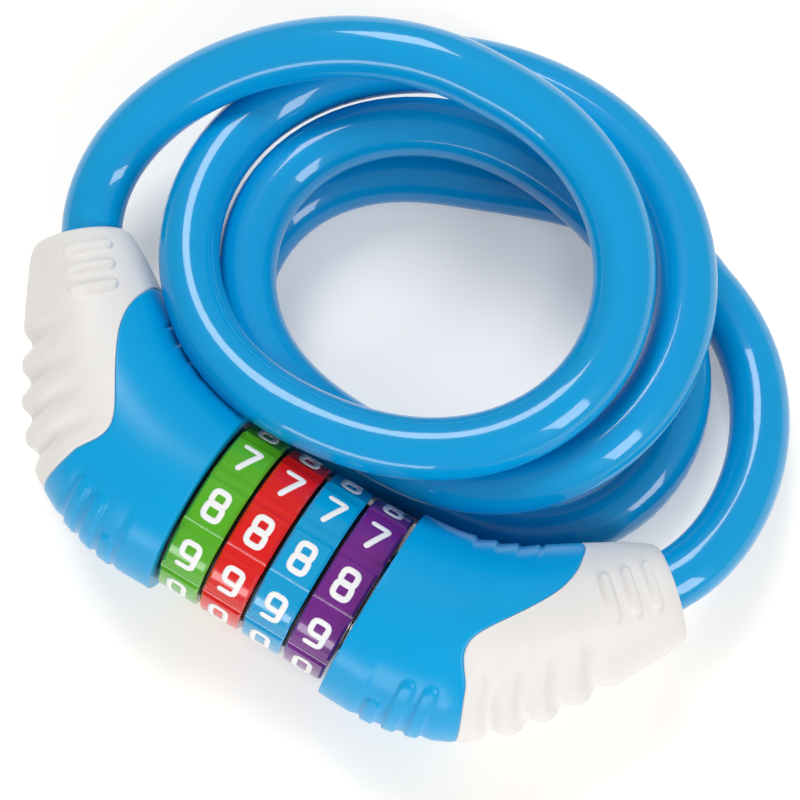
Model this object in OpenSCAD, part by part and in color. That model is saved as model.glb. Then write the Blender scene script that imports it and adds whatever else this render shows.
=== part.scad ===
// Coiled cable lock with four number rings
//
// The lock lies on a flat surface at Z = 0, with the axis of its number rings along X. Its two
// halves mirror each other. The left half carries the slotted barrel and the number rings, and
// the right half carries the bolt, which pulls out towards +X when the rings are lined up.
// The cable leaves both halves towards +Y and lies coiled behind the lock.

/* [Cable] */
// Outer diameter of the plastic jacket
cable_d = 12; // [10:0.5:12]
// Diameter of the steel rope inside the jacket
rope_d = 7; // [5:0.5:8]
// Length of steel rope that each ferrule grips
rope_grip = 14; // [8:1:16]

/* [Housings] */
// Radius of each housing where it meets the number rings
housing_r = 20; // [19:0.25:21]
// Depth of the flat that each housing rests on
rest_flat = 0.9; // [0.8:0.1:1.2]
// Depth of the notches between the finger scallops on the boot's outer side
scallop_depth = 1.8; // [1:0.1:2.4]
// Wall of the white boot outside the cable, on the side nearer to the coil
boot_wall = 1.4; // [1:0.1:1.8]
// Turn of the cable's way out from square to the boot's end, towards the coil
cable_lean = 14; // [0:1:18]
// How deep the cable's end lies inside the boot
cable_seat = 6; // [4:1:8]
// Radius of the housing's tail, which carries the boot and holds the ferrule
tail_r = 7.6; // [7:0.1:8]

/* [Number rings] */
// Outer diameter of a number ring
ring_d = 36; // [34:0.5:37]
// Width of a number ring
ring_w = 8.6; // [8:0.1:8.8]
// Gap between two number rings, and beside the outer two
ring_gap = 0.8; // [0.6:0.1:1.2]
// Width of the groove between two numbers
groove_w = 3; // [1.4:0.2:3.6]
// Depth of the groove between two numbers
groove_depth = 0.6; // [0.3:0.1:1]
// Size of the bevel along a number ring's rims
ring_bevel = 0.5; // [0.2:0.1:0.8]
// Turn of the numbers about the axis, from straight up towards the front
number_turn = 1; // [0:1:36]

/* [Clutch] */
// Outer radius of a clutch hub, which fills a number ring
hub_r = 11; // [10:0.25:12]
// Radius of the chamber that a lug turns in
chamber_r = 7.6; // [7.4:0.1:8.5]
// Thickness of the notched wall that stops a lug
gate_t = 3; // [2:0.25:3.5]
// Width of the key that ties a hub to its number ring
key_w = 2; // [1.5:0.25:3]
// Height of that key
key_h = 1; // [0.6:0.1:1.4]

/* [Barrel and bolt] */
// Outer radius of the slotted barrel
barrel_r = 5.5; // [5:0.1:6]
// Radius of the bolt's shank
bolt_r = 3.5; // [3:0.1:3.8]
// Width of a lug on the bolt
lug_w = 2; // [1.6:0.1:2.4]
// Length of a lug along the bolt
lug_l = 2.5; // [2:0.1:3]
// How far the barrel's nose stands out past the last number ring
nose_l = 4; // [3:0.5:5]
// Radius of the collar on the barrel's nose
collar_r = 10; // [9:0.25:10.5]
// How deep the barrel and the bolt go into their housings
shank_seat = 20.8; // [18:0.4:22]
// Distance of their cross pins from the housings' faces
pin_seat = 14.8; // [10:0.4:16]
// Radius of the cross pins
pin_r = 1.25; // [1:0.05:1.5]

/* [Fits] */
// Radial gap of turning and sliding fits
run_gap = 0.05; // [0.02:0.01:0.1]
// Gap round pieces that are only seated
seat_gap = 0.1; // [0.05:0.01:0.2]
// Gap beside a spacer between two number rings
side_gap = 0.15; // [0.1:0.05:0.25]
// Gap beside a lug in its slot or notch
lug_gap = 0.2; // [0.1:0.05:0.3]

/* [Hidden] */

$fn = 72;
eps = 0.01;
numbers = 10;
ring_colours = ["yellowgreen", "red", "deepskyblue", "rebeccapurple"];

// The dial block: rings, gaps and the faces of the two housings
ring_r = ring_d / 2;
ring_pitch = ring_w + ring_gap;
ring_x = [for (i = [-1.5:1:1.5]) i * ring_pitch];
face_x = 2 * ring_pitch + ring_gap / 2;
axis_z = housing_r - rest_flat;

// ---------------------------------------------------------------- housing shape

// Outline of the right half from above, from the dial face to the boot's end, as distances
// [beyond the dial face, from the dial axis], with the half height at the same stations
back_edge = [[0, housing_r], [9.8, 21.4], [19.8, 25.2], [28.8, 30.9], [36.3, 35.6], [41.6, 38.2]];
front_edge = [[0, -housing_r], [12.8, -19.6], [25.8, -15.4], [36.8, -7], [46.8, 8], [56, 24.8]];
stations = len(back_edge) - 1;
end_r = norm(back_edge[stations] - front_edge[stations]) / 2;
half_height = [housing_r, 19.9, 18.9, 17, 14, end_r];

// Seam between the blue housing and the white boot: its station every 30 degrees round the
// section, from the coil side over the top to the front
seam_station = [3, 3.08, 2.85, 1.75, 1.95, 2.1, 2.15];
section_points = 24;
housing_rings = 12;

// Boot: its notches from the seam on, the rings past them to the rounded end, as parts of the
// way from the seam to the end, and how much the notches lean towards the lock on their way up
notch_at = [0, 0.19, 0.37, 0.51, 0.65];
past_notches = [0.73, 0.82, 0.88, 0.93, 0.97, 1];
notch_lean = 0.3;

// Value on a smooth curve through the items of a list, at position t
function through(list, t) =
    let (
        last = len(list) - 1,
        i = min(floor(t), last - 1),
        f = t - i,
        a = list[max(i - 1, 0)],
        b = list[i],
        c = list[i + 1],
        d = list[min(i + 2, last)]
    )
    0.5 * (2 * b + (c - a) * f + (2 * a - 5 * b + 4 * c - d) * f * f
        + (3 * b - a - 3 * c + d) * f * f * f);

// Seam station at an angle, the same above and below
function seam_at(angle) = through(seam_station, (angle > 180 ? 360 - angle : angle) / 30);

// How much the boot's end is rounded in at a station
end_round = 1.2;
round_from = 0.35;
function round_in(station) =
    let (f = max(0, (station - stations + round_from) / round_from))
    end_round * (1 - sqrt(1 - f * f));

// One point of the outer surface of the right half, before it is set on the dial axis
function shell_point(station, angle, sunk = 0) =
    let (
        back = through(back_edge, station),
        front = through(front_edge, station),
        middle = (back + front) / 2,
        across = (back - front) / 2,
        inset = round_in(station) + sunk,
        shrink = 1 - inset / norm(across),
        plan = middle + across * shrink * cos(angle),
        height = (through(half_height, station) - inset) * sin(angle)
    )
    [face_x + plan[0], plan[1], max(height, -axis_z)];

section_angles = [for (k = [0:section_points - 1]) 360 * k / section_points];

// From the dial face to the seam
housing_shell = [
    for (i = [0:housing_rings])
        [for (angle = section_angles) shell_point(seam_at(angle) * i / housing_rings, angle)]
];

// From the seam to the boot's end, with a ring in every notch and on every scallop between two
function notch_fade(angle) =
    let (f = max(0, min(1, (90 - abs(180 - angle)) / 50)))
    f * f * (3 - 2 * f);
function boot_station(part, angle) =
    seam_at(angle) + (stations - seam_at(angle)) * pow(part, 1 + notch_lean * abs(sin(angle)));

notches = len(notch_at) - 1;
boot_at = [
    for (i = [0:notches - 1]) each [notch_at[i], (notch_at[i] + notch_at[i + 1]) / 2],
    notch_at[notches],
    each past_notches
];
boot_shell = [
    for (i = [0:len(boot_at) - 1])
        let (in_notch = i > 0 && i <= 2 * notches && i % 2 == 0)
        [
            for (angle = section_angles)
                shell_point(
                    boot_station(boot_at[i], angle), angle,
                    in_notch ? scallop_depth * notch_fade(angle) : 0
                )
        ]
];

// The lock's middle in Y, which the origin stands on
shell_y = [for (ring = concat(housing_shell, boot_shell), point = ring) point[1]];
axis_y = -(max(shell_y) + min(shell_y)) / 2;

// Where the cable leaves the boot: square to its end, nearer to the coil side
end_back = [face_x, 0] + back_edge[stations];
end_front = [face_x, 0] + front_edge[stations];
to_back = (end_back - end_front) / (2 * end_r);
out_angle = atan2(-to_back[0], to_back[1]) + cable_lean;
out_dir = [cos(out_angle), sin(out_angle)];
cable_hole_r = cable_d / 2 + lug_gap;
exit_point = (end_back + end_front) / 2 + to_back * (end_r - cable_hole_r - boot_wall);

ferrule_r = min(cable_d / 2, tail_r - 1.5) - 0.4;
ferrule_solid = 8;
ferrule_l = rope_grip + ferrule_solid;
rope_r = rope_d / 2;
cable_straight = cable_seat + cable_hole_r * tan(cable_lean) + seat_gap;
tail_end = cable_seat + 2;
tail_l = 26;
ferrule_pin_at = cable_seat + rope_grip + 4;

// ---------------------------------------------------------------- cable route

// Middle of the coil where it starts, beyond the dial axis, and how far it moves in each turn
coil_middle = [-14.5, 61];
coil_drift = 8.5;
// How far the cable lies from that middle, every eighth of a turn: from the left round the
// back, the right and the front, and so on for each turn
reach = [
    80.5, 52.5, 36, 32, 40.5, 45.5, 39.5, 36,
    44.5, 47.5, 43.5, 43.5, 49.5, 47.5, 42, 31.5,
    40.5, 45, 35.5, 29.5, 33, 49.5, 47, 30.5,
    52.5, 52.5, 29.5, 31.5, 42.5, 54, 59, 53.5, 36.5
];
// Height of the cable's middle, every quarter turn, from a quarter turn before the start
height = [26, 38.5, 42, 35, 36, 19, 21, 31, 18.5, 18, 22.5, 9, 5.5, 6, 6, 6.5, 8.5, 11, 13.5];
coil_from = 0.25;
coil_to = 3.375;
rings_a_turn = 24;
cable_sides = 8;
// Length of the straight handles that lead each run into the coil: at the lock, at the coil
left_lead = [29, 36];
right_lead = [19, 28];
left_run_rings = 10;
right_run_rings = 8;

// Even curve that stays near the items of a list
function near(list, t) =
    let (i = min(floor(t), len(list) - 3), f = t - i)
    (pow(1 - f, 3) * list[i - 1] + (3 * pow(f, 3) - 6 * f * f + 4) * list[i]
        + (3 * f + 3 * f * f - 3 * pow(f, 3) + 1) * list[i + 1] + pow(f, 3) * list[i + 2]) / 6;

function coil_point(turn) =
    let (angle = 180 - 360 * turn, out = near(reach, 8 * turn + 1))
    [
        coil_middle[0] + coil_drift * turn + out * cos(angle),
        axis_y + coil_middle[1] + out * sin(angle),
        max(near(height, 4 * turn + 1), cable_d / 2)
    ];

function unit(v) = v / norm(v);
function bezier(a, b, c, d, t) =
    pow(1 - t, 3) * a + 3 * t * pow(1 - t, 2) * b + 3 * t * t * (1 - t) * c + pow(t, 3) * d;

coil_steps = round((coil_to - coil_from) * rings_a_turn);
coil_path = [for (i = [0:coil_steps]) coil_point(coil_from + (coil_to - coil_from) * i / coil_steps)];
coil_start_dir = unit(coil_path[1] - coil_path[0]);
coil_end_dir = unit(coil_path[coil_steps] - coil_path[coil_steps - 1]);

// One end of the cable: straight from its seat until it is out of the boot, then bent into the coil
function run_path(side, coil_end, coil_dir, lead, rings) =
    let (
        out = [side * out_dir[0], out_dir[1], 0],
        seat = [side * exit_point[0], axis_y + exit_point[1], axis_z] - out * cable_seat,
        bend = seat + out * cable_straight
    )
    concat([seat], [
        for (i = [0:rings])
            bezier(bend, bend + out * lead[0], coil_end - coil_dir * lead[1], coil_end, i / rings)
    ]);

left_path = run_path(-1, coil_path[0], coil_start_dir, left_lead, left_run_rings);
right_path = run_path(1, coil_path[coil_steps], -coil_end_dir, right_lead, right_run_rings);

// ---------------------------------------------------------------- helpers

// Skin round a list of rings with equal numbers of points, closed by a fan at each end
module skin(rings) {
    count = len(rings[0]);
    last = len(rings) - 1;
    ends = [for (ring = [rings[0], rings[last]]) [for (axis = [0:2]) sum(ring, axis) / count]];
    points = [for (ring = rings) each ring, each ends];
    sides = [
        for (i = [0:last - 1], k = [0:count - 1])
            let (a = i * count + k, b = i * count + (k + 1) % count)
            each [[a, a + count, b + count], [a, b + count, b]]
    ];
    first_fan = [for (k = [0:count - 1]) [len(points) - 2, k, (k + 1) % count]];
    last_fan = [
        for (k = [0:count - 1])
            [len(points) - 1, last * count + (k + 1) % count, last * count + k]
    ];
    polyhedron(points, concat(sides, first_fan, last_fan), convexity = 8);
}

function sum(ring, axis, i = 0) = i < len(ring) ? ring[i][axis] + sum(ring, axis, i + 1) : 0;

// Round tube along a path, its ends square to the directions given
function tube_rings(path, first_dir, last_dir) = [
    for (i = [0:len(path) - 1])
        let (
            dir = i == 0 ? first_dir : i == len(path) - 1 ? last_dir : unit(path[i + 1] - path[i - 1]),
            side = unit(cross([0, 0, 1], dir)),
            up = cross(dir, side)
        )
        [
            for (k = [0:cable_sides - 1])
                let (angle = 360 * k / cable_sides)
                path[i] + cable_d / 2 * (side * cos(angle) + up * sin(angle))
        ]
];

module along_axis(x = 0) {
    translate([x, axis_y, axis_z])
        rotate([0, 90, 0])
            children();
}

module disc(r, from, to) {
    along_axis(from)
        cylinder(r = r, h = to - from);
}

// A half's own side: 1 for the right half, -1 for its mirror image on the left
module on_side(side) {
    if (side > 0)
        children();
    else
        mirror([1, 0, 0])
            children();
}

// Along the cable's direction, from a depth inside the boot's end back towards the lock
module along_cable(depth) {
    translate([exit_point[0], axis_y + exit_point[1], axis_z])
        rotate([0, 0, out_angle])
            translate([-depth, 0, 0])
                rotate([0, -90, 0])
                    children();
}

module cross_pin(x, y, from, to, gap = 0) {
    translate([x, y, from - gap])
        cylinder(r = pin_r + gap, h = to - from + 2 * gap);
}

pin_x = face_x + pin_seat;
pin_from = 2;
pin_to = axis_z + barrel_r + 4;
ferrule_pin_point = exit_point - out_dir * ferrule_pin_at;

module housing_pin(gap = 0) {
    cross_pin(pin_x, axis_y, pin_from, pin_to, gap);
}

module tail_pin(gap = 0) {
    cross_pin(
        ferrule_pin_point[0], axis_y + ferrule_pin_point[1],
        axis_z - tail_r + 0.5, axis_z + tail_r - 0.5, gap
    );
}

// ---------------------------------------------------------------- each half's shell

module placed_shell(rings) {
    translate([0, axis_y, axis_z])
        skin(rings);
}

module housing_blank(side) {
    on_side(side)
        difference() {
            union() {
                placed_shell(housing_shell);
                along_cable(tail_end)
                    cylinder(r = tail_r, h = tail_l);
            }
            along_cable(tail_end - 1)
                cylinder(r = ferrule_r + run_gap, h = cable_seat + ferrule_l - tail_end + 1 + seat_gap);
            tail_pin(run_gap);
            housing_pin(run_gap);
        }
}

module end_boot(side) {
    color("whitesmoke")
        on_side(side)
            difference() {
                placed_shell(boot_shell);
                along_cable(-cable_hole_r)
                    cylinder(r = cable_hole_r, h = tail_end + cable_hole_r + 1);
                along_cable(tail_end - seat_gap)
                    cylinder(r = tail_r + seat_gap, h = norm(exit_point));
            }
}

module ferrule(side) {
    color("silver")
        on_side(side)
            difference() {
                along_cable(cable_seat)
                    cylinder(r = ferrule_r, h = ferrule_l);
                along_cable(cable_seat - 1)
                    cylinder(r = rope_r + run_gap, h = rope_grip + 1 + seat_gap);
                tail_pin(run_gap);
            }
}

module cable_rope(side) {
    color("dimgray")
        on_side(side)
            along_cable(cable_seat)
                cylinder(r = rope_r, h = rope_grip);
}

module ferrule_pin(side) {
    color("dimgray")
        on_side(side)
            tail_pin();
}

// ---------------------------------------------------------------- left half

barrel_from = -face_x - shank_seat;
barrel_to = 2 * ring_pitch - ring_gap / 2 + nose_l;
lug_from_ring = ring_w / 2 - 1.5;
slot_from = ring_x[0] - ring_w / 2;

// Where the lugs lie at rest: in the chamber of each hub, left of its notched wall
lug_x = [for (x = ring_x) x - ring_w / 2 + (ring_w - gate_t - lug_l) / 2];
lug_tip = chamber_r - 0.4;
slot_w = lug_w + 2 * lug_gap;

module lug_slot(from, to, top) {
    translate([from, axis_y - slot_w / 2, axis_z])
        cube([to - from, slot_w, top]);
}

module left_housing() {
    color("deepskyblue")
        difference() {
            housing_blank(-1);
            disc(barrel_r + run_gap, barrel_from - seat_gap, -face_x + 1);
        }
}

spring_w = 2.4;
spring_t = 0.4;
spring_seat = barrel_r - 1;

module barrel() {
    color("silver")
        difference() {
            disc(barrel_r, barrel_from, barrel_to);
            disc(bolt_r + run_gap, slot_from - 1, barrel_to + 1);
            lug_slot(slot_from, barrel_to + 1, barrel_r + 1);
            translate([slot_from - seat_gap, axis_y - spring_w / 2 - seat_gap, axis_z - barrel_r - 1])
                cube([
                    4 * ring_pitch + 2 * seat_gap, spring_w + 2 * seat_gap,
                    barrel_r + 1 - spring_seat + run_gap
                ]);
            on_side(-1)
                housing_pin(run_gap);
        }
}

module barrel_pin() {
    color("dimgray")
        on_side(-1)
            housing_pin();
}

// Collar on the barrel's nose: it keeps the number rings on, and the bolt's socket goes over it
module barrel_collar() {
    color("silver")
        difference() {
            disc(collar_r, barrel_to - nose_l + side_gap, barrel_to);
            disc(barrel_r + run_gap, barrel_to - nose_l - 1, barrel_to + 1);
            lug_slot(barrel_to - nose_l - 1, barrel_to + 1, chamber_r);
        }
}

// Strip of spring steel in the barrel's lower groove, with a half-round bump in each hub's
// chamber
module click_spring() {
    bump_r = chamber_r - run_gap - spring_seat - spring_t;
    color("slategray")
        translate([0, axis_y, axis_z - spring_seat - spring_t]) {
            translate([slot_from, -spring_w / 2, 0])
                cube([4 * ring_pitch - ring_gap, spring_w, spring_t]);
            for (x = lug_x)
                translate([x + lug_l / 2, spring_w / 2, 0])
                    rotate([90, 0, 0])
                        difference() {
                            cylinder(r = bump_r, h = spring_w);
                            translate([-bump_r - 1, spring_t / 2, -1])
                                cube([2 * bump_r + 2, bump_r, spring_w + 2]);
                        }
        }
}

spacer_t = ring_gap - 2 * side_gap;

module ring_spacers() {
    color("black")
        for (i = [0:3])
            difference() {
                disc(
                    ring_r - 2,
                    ring_x[i] - ring_w / 2 - side_gap - spacer_t, ring_x[i] - ring_w / 2 - side_gap
                );
                disc(barrel_r + run_gap, ring_x[i] - ring_w, ring_x[i]);
                lug_slot(ring_x[i] - ring_w, ring_x[i], chamber_r);
            }
}

// Numbered ring: bevelled rims, a groove between each two numbers, and ten key slots inside
module number_ring(i) {
    groove_r = (groove_w * groove_w / 4 + groove_depth * groove_depth) / (2 * groove_depth);
    color(ring_colours[i])
        translate([ring_x[i], axis_y, axis_z])
            rotate([0, 90, 0])
                difference() {
                    translate([0, 0, -ring_w / 2])
                        rotate_extrude()
                            polygon([
                                [hub_r + run_gap, 0],
                                [ring_r - ring_bevel, 0],
                                [ring_r, ring_bevel],
                                [ring_r, ring_w - ring_bevel],
                                [ring_r - ring_bevel, ring_w],
                                [hub_r + run_gap, ring_w]
                            ]);
                    for (k = [0:numbers - 1])
                        rotate([0, 0, 180 + number_turn + 360 * (k + 0.5) / numbers])
                            translate([ring_r - groove_depth + groove_r, 0, -ring_w / 2 - 1])
                                cylinder(r = groove_r, h = ring_w + 2);
                    for (k = [0:numbers - 1])
                        rotate([0, 0, 360 * k / numbers])
                            translate([hub_r - 1, -key_w / 2 - seat_gap, -ring_w / 2 - 1])
                                cube([key_h + 1 + seat_gap, key_w + 2 * seat_gap, ring_w + 2]);
                }
}

// Clutch hub: it turns on the barrel, and a lug passes its wall only at the notch
module clutch_hub(i) {
    from = ring_x[i] - ring_w / 2;
    to = ring_x[i] + ring_w / 2;
    color("silver")
        difference() {
            union() {
                disc(hub_r, from, to);
                translate([from, axis_y - key_w / 2, axis_z - hub_r - key_h])
                    cube([ring_w, key_w, key_h + 2]);
            }
            disc(barrel_r + run_gap, from - 1, to + 1);
            disc(chamber_r, from - 1, to - gate_t);
            lug_slot(from, to + 1, chamber_r);
        }
}

// ---------------------------------------------------------------- right half

socket_t = 1.4;
socket_r = collar_r + run_gap + socket_t;
socket_end = barrel_to + side_gap;
bolt_from = lug_x[0] - 0.5;
bolt_to = face_x + shank_seat;

module right_housing() {
    color("deepskyblue")
        difference() {
            housing_blank(1);
            disc(socket_r + run_gap, face_x - 1, socket_end + socket_t + seat_gap);
            disc(bolt_r + run_gap, face_x, bolt_to + seat_gap);
        }
}

// Steel cup in the right housing's face, which seats over the collar on the barrel
module bolt_socket() {
    color("silver")
        difference() {
            disc(socket_r, face_x, socket_end + socket_t);
            disc(collar_r + run_gap, face_x - 1, socket_end);
            disc(bolt_r + run_gap, face_x, socket_end + socket_t + 1);
        }
}

module bolt() {
    color("silver")
        difference() {
            union() {
                disc(bolt_r, bolt_from, bolt_to);
                for (x = lug_x)
                    translate([x, axis_y - lug_w / 2, axis_z])
                        cube([lug_l, lug_w, lug_tip]);
            }
            housing_pin(run_gap);
        }
}

module bolt_pin() {
    color("dimgray")
        housing_pin();
}

// ---------------------------------------------------------------- cable

module cable_left_run() {
    color("deepskyblue")
        skin(tube_rings(left_path, unit([-out_dir[0], out_dir[1], 0]), coil_start_dir));
}

module cable_coil() {
    color("deepskyblue")
        skin(tube_rings(coil_path, coil_start_dir, coil_end_dir));
}

module cable_right_run() {
    color("deepskyblue")
        skin(tube_rings(right_path, unit([out_dir[0], out_dir[1], 0]), -coil_end_dir));
}

// Least gap between two stretches of the cable that lie more than four diameters apart
function length_to(path, i) = i == 0 ? 0 : length_to(path, i - 1) + norm(path[i] - path[i - 1]);
union() {  // cable_coil
    fine = 4 * coil_steps;
    whole = concat(
        left_path,
        [
            for (i = [1:fine - 1])
                coil_point(coil_from + (coil_to - coil_from) * i / fine)
        ],
        [for (i = [len(right_path) - 1:-1:0]) right_path[i]]
    );
    pieces = [for (i = [1:len(whole) - 1]) norm(whole[i] - whole[i - 1])];
    along = [for (i = 0, s = 0; i < len(whole); s = s + (i < len(pieces) ? pieces[i] : 0), i = i + 1) s];
    gaps = [
        for (i = [0:len(whole) - 2], j = [i + 1:len(whole) - 1])
            if (along[j] - along[i] > 4 * cable_d)
                norm(whole[j] - whole[i]) - cable_d
    ];
    echo(cable_least_gap = min(gaps), cable_length = along[len(whole) - 1]);
}

left_housing();
end_boot(-1);  // left_end_boot
ferrule(-1);  // left_ferrule
ferrule_pin(-1);  // left_ferrule_pin
cable_rope(-1);  // left_cable_rope
barrel();
barrel_pin();
barrel_collar();
click_spring();
ring_spacers();
number_ring(0);  // green_number_ring
number_ring(1);  // red_number_ring
number_ring(2);  // blue_number_ring
number_ring(3);  // purple_number_ring
clutch_hub(0);  // green_clutch_hub
clutch_hub(1);  // red_clutch_hub
clutch_hub(2);  // blue_clutch_hub
clutch_hub(3);  // purple_clutch_hub
right_housing();
end_boot(1);  // right_end_boot
ferrule(1);  // right_ferrule
ferrule_pin(1);  // right_ferrule_pin
cable_rope(1);  // right_cable_rope
bolt();
bolt_pin();
bolt_socket();
cable_left_run();
cable_coil();
cable_right_run();
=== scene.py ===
# %% [markdown]
# # A coiled cable lock
#
# The lock is two curved plastic housings with soft white boots, joined by a steel bolt that
# runs through four number rings. A thick plastic-covered cable leaves one boot, lies in a loose
# coil and goes into the other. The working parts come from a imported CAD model, which stays as
# it is. This script dresses them: it gives every part a finish, and makes the skins, the
# numbers and the cable, whose looks need more points than a working model should carry.

# %% Load the working model
import math

import bmesh
import bpy
import numpy as np
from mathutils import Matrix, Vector


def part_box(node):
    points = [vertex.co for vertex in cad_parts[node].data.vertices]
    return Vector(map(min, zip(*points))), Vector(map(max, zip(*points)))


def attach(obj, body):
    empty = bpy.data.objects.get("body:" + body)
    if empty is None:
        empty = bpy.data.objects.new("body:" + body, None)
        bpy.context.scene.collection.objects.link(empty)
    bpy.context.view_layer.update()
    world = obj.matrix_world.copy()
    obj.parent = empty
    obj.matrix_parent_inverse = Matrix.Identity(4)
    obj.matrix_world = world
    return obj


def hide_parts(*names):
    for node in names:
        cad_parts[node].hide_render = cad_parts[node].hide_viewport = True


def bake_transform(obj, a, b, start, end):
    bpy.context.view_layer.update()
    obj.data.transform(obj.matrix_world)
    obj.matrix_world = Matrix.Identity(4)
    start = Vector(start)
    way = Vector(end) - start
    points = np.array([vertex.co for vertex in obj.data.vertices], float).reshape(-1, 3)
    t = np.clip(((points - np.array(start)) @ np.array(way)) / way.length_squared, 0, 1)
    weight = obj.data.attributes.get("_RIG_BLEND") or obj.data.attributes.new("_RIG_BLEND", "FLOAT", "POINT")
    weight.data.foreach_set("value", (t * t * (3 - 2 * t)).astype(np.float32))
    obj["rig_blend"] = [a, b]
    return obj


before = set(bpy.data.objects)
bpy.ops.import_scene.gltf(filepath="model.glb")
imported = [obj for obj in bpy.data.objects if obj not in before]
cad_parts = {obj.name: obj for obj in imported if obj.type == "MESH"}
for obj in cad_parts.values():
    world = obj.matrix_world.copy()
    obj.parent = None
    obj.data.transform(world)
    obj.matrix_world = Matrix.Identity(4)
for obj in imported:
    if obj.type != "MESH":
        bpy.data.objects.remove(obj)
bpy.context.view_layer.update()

MM = 0.001


def new_object(name, data):
    """A new object in the scene that shows the data."""
    thing = bpy.data.objects.new(name, data)
    bpy.context.scene.collection.objects.link(thing)
    return thing


# %% [markdown]
# ## Camera
#
# The camera looks down steeply from the front right, about as far off as someone bending over
# a table. A long lens keeps the near boot from looking larger than the far one. The places
# below are worked out from the number rings, because everything in the lock lies round them.

# %% Camera
ring_names = ["green", "red", "blue", "purple"]
ring_boxes = [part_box(f"{name}_number_ring") for name in ring_names]
ring_x = [(low[0] + high[0]) / 2 for low, high in ring_boxes]
ring_r = (ring_boxes[0][1][2] - ring_boxes[0][0][2]) / 2
axis_y = (ring_boxes[0][0][1] + ring_boxes[0][1][1]) / 2
axis_z = (ring_boxes[0][0][2] + ring_boxes[0][1][2]) / 2

look_at = Vector((3.35 * MM, axis_y + 36.85 * MM, 19.3 * MM))
azimuth, elevation, distance = 31.12, 80.87, 0.3756
lens_mm, sensor_mm = 85.82, 36


def backwards(azimuth, elevation):
    """Direction from what is looked at back to the camera."""
    a, e = math.radians(azimuth), math.radians(elevation)
    return Vector((math.sin(a) * math.cos(e), -math.cos(a) * math.cos(e), math.sin(e)))


camera_data = bpy.data.cameras.new("camera")
camera_data.lens = lens_mm
camera_data.sensor_width = sensor_mm
camera_data.clip_start = 0.01
camera = new_object("camera", camera_data)
back = backwards(azimuth, elevation)
camera.location = look_at + back * distance
camera.rotation_euler = back.to_track_quat("Z", "Y").to_euler()
bpy.context.scene.camera = camera
bpy.context.scene.view_settings.view_transform = "Standard"
print("camera at", tuple(round(v, 3) for v in camera.location))

# %% [markdown]
# ## Small tools for node trees
#
# Shader trees and geometry trees are built the same way: add a node, set its inputs, link it.
# A few short functions keep the rest of the script readable.

# %% Helpers for node trees
def add_node(tree, kind, **inputs):
    """A new node of that kind. Inputs are values, or another node's output socket."""
    node = tree.nodes.new(kind)
    for name, value in inputs.items():
        put(tree, node.inputs[name.replace("_", " ")], value)
    return node


def put(tree, socket, value):
    """Feeds a socket with another socket or with a plain value."""
    if isinstance(value, bpy.types.NodeSocket):
        tree.links.new(value, socket)
    else:
        socket.default_value = value


def maths(tree, operation, *values):
    """The output of a maths node that takes the values in that order."""
    node = tree.nodes.new("ShaderNodeMath")
    node.operation = operation
    for socket, value in zip(node.inputs, values):
        put(tree, socket, value)
    return node.outputs[0]


def new_group(name, kind, inputs, outputs):
    """A node group: its tree, what it is given, its result, and its input sockets by name."""
    tree = bpy.data.node_groups.new(name, kind)
    sockets = {
        label: tree.interface.new_socket(label, in_out="INPUT", socket_type=f"NodeSocket{sort}")
        for label, sort in inputs.items()
    }
    for label, sort in outputs.items():
        tree.interface.new_socket(label, in_out="OUTPUT", socket_type=f"NodeSocket{sort}")
    given = tree.nodes.new("NodeGroupInput").outputs
    result = tree.nodes.new("NodeGroupOutput").inputs
    return tree, given, result, sockets


def screen_colour(red, green, blue):
    """A colour picked on a screen, 0 to 255, as the linear colour that a shader takes."""
    linear = []
    for value in (red, green, blue):
        value /= 255
        linear.append(value / 12.92 if value <= 0.04045 else ((value + 0.055) / 1.055) ** 2.4)
    return (*linear, 1)


# %% [markdown]
# ## Finishes
#
# Moulded plastic is never one flat colour. Its pigment is a little uneven, its skin has a fine
# grain from the mould, and handling rubs it smoother here and there. All the plastics share
# one node group for that, each with its own values. The group only puts out a colour, a
# roughness and a normal, and the shader itself stays in the material.

# %% Node group: moulded skin
clouds_per_metre, rubs_per_metre = 90.0, 220.0
grain_height = 0.05 * MM
usual_skin = {
    "Colour": (0.5, 0.5, 0.5, 1),
    "Unevenness": 0.06,
    "Roughness": 0.35,
    "Rubbing": 0.08,
    "Grain per metre": 2500.0,
    "Grain depth": 0.1,
}


def moulded_skin_group():
    group, given, result, sockets = new_group(
        "moulded_skin",
        "ShaderNodeTree",
        {
            "Colour": "Color",
            "Unevenness": "Float",
            "Roughness": "Float",
            "Rubbing": "Float",
            "Grain per metre": "Float",
            "Grain depth": "Float",
        },
        {"Colour": "Color", "Roughness": "Float", "Normal": "Vector"},
    )
    for label, usual in usual_skin.items():
        sockets[label].default_value = usual
    place = group.nodes.new("ShaderNodeTexCoord").outputs["Object"]

    def noise(scale, detail):
        pattern = add_node(group, "ShaderNodeTexNoise", Vector=place, Scale=scale, Detail=detail)
        return pattern.outputs["Fac"]

    swing = maths(group, "SUBTRACT", noise(clouds_per_metre, 3.0), 0.5)
    share = maths(group, "MULTIPLY_ADD", swing, given["Unevenness"], 1.0)
    tinted = add_node(group, "ShaderNodeVectorMath")
    tinted.operation = "SCALE"
    put(group, tinted.inputs[0], given["Colour"])
    put(group, tinted.inputs["Scale"], share)
    put(group, result["Colour"], tinted.outputs[0])

    swing = maths(group, "SUBTRACT", noise(rubs_per_metre, 5.0), 0.5)
    rough = maths(group, "MULTIPLY_ADD", swing, given["Rubbing"], given["Roughness"])
    rough.node.use_clamp = True
    put(group, result["Roughness"], rough)

    grain = noise(given["Grain per metre"], 2.0)
    depth = given["Grain depth"]
    bump = add_node(group, "ShaderNodeBump", Strength=depth, Distance=grain_height, Height=grain)
    put(group, result["Normal"], bump.outputs[0])
    return group


moulded_skin = moulded_skin_group()


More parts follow.
